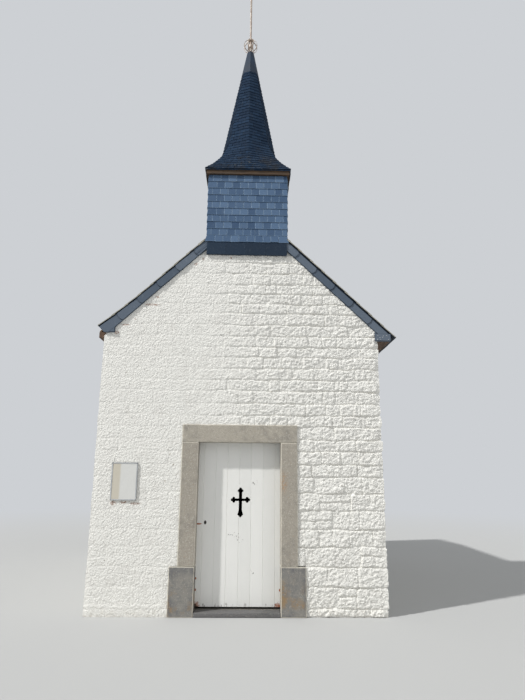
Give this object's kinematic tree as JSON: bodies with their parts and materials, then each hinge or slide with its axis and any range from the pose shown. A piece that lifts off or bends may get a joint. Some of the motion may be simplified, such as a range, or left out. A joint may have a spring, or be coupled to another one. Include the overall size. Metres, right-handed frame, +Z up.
{
  "type": "small chapel",
  "caption": "Small one-room rubble-stone chapel with a slated roof, slate-hung belfry, bell-cast octagonal spire, forged finial and a boarded door that opens inwards.",
  "frame": {"origin": "on the ground under the ridge, at the middle of the overall length", "axes": "+Z up, the door faces -Y, +X to the right of someone facing the door"},
  "size_m": [3.674, 4.519, 9.3581],
  "materials": {
    "limewashed_masonry": "thin rough limewash over bedded rubble stone",
    "dressed_limestone": "bush-hammered grey-blue limestone",
    "roof_slate": "riven blue-grey slate",
    "bargeboard_slate": "slate pieces nailed over boards",
    "hung_slate": "boards hung with blue-grey slates",
    "spire_slate": "boarding covered with narrow slates",
    "sheet_zinc": "dull weathered sheet metal",
    "apron_slate": "large dark slates laid side by side",
    "stained_timber": "brown stained boards",
    "structural_timber": "sawn timber",
    "painted_door_boards": "worn off-white paint on upright boards",
    "forged_iron": "black forged iron with rust bloom",
    "notice_sheet": "pale bare panel, screwed at its corners"
  },
  "bodies": {
    "chapel": {"back_wall": "limewashed_masonry", "bargeboard_back_left": "bargeboard_slate", "bargeboard_back_right": "bargeboard_slate", "bargeboard_front_left": "bargeboard_slate", "bargeboard_front_right": "bargeboard_slate", "belfry_apron": "apron_slate", "belfry_back": "hung_slate", "belfry_flashing": "sheet_zinc", "belfry_frame": "structural_timber", "belfry_front": "hung_slate", "belfry_sides": "hung_slate", "door_base_blocks": "dressed_limestone", "door_jambs": "dressed_limestone", "door_lintel": "dressed_limestone", "door_pintles": "forged_iron", "eaves_boards": "bargeboard_slate", "eaves_soffits": "stained_timber", "finial_basket": "forged_iron", "finial_cross": "forged_iron", "floor_paving": "dressed_limestone", "front_gable": "limewashed_masonry", "front_wall_left": "limewashed_masonry", "front_wall_right": "limewashed_masonry", "inner_lintel": "structural_timber", "notice_panel": "notice_sheet", "rafters": "structural_timber", "ridge_beam": "structural_timber", "ridge_cap": "sheet_zinc", "roof_boarding_left": "structural_timber", "roof_boarding_right": "structural_timber", "roof_slates_left": "roof_slate", "roof_slates_right": "roof_slate", "side_wall_left": "limewashed_masonry", "side_wall_right": "limewashed_masonry", "spire_cap": "sheet_zinc", "spire_fascia": "stained_timber", "spire_foot": "spire_slate", "spire_shaft": "spire_slate", "spire_soffit": "stained_timber", "threshold_stone": "dressed_limestone", "wall_plates": "structural_timber"},
    "door": {"door_leaf": "painted_door_boards", "door_ledges": "painted_door_boards", "door_straps": "forged_iron", "door_lock": "forged_iron"}
  },
  "joints": [
    {"name": "door_hinge", "type": "hinge", "parent": "chapel", "child": "door", "pos_m": [0.475, -2.0088, 0.18], "axis": [0, 0, -1], "range_deg": [0, 90]}
  ]
}
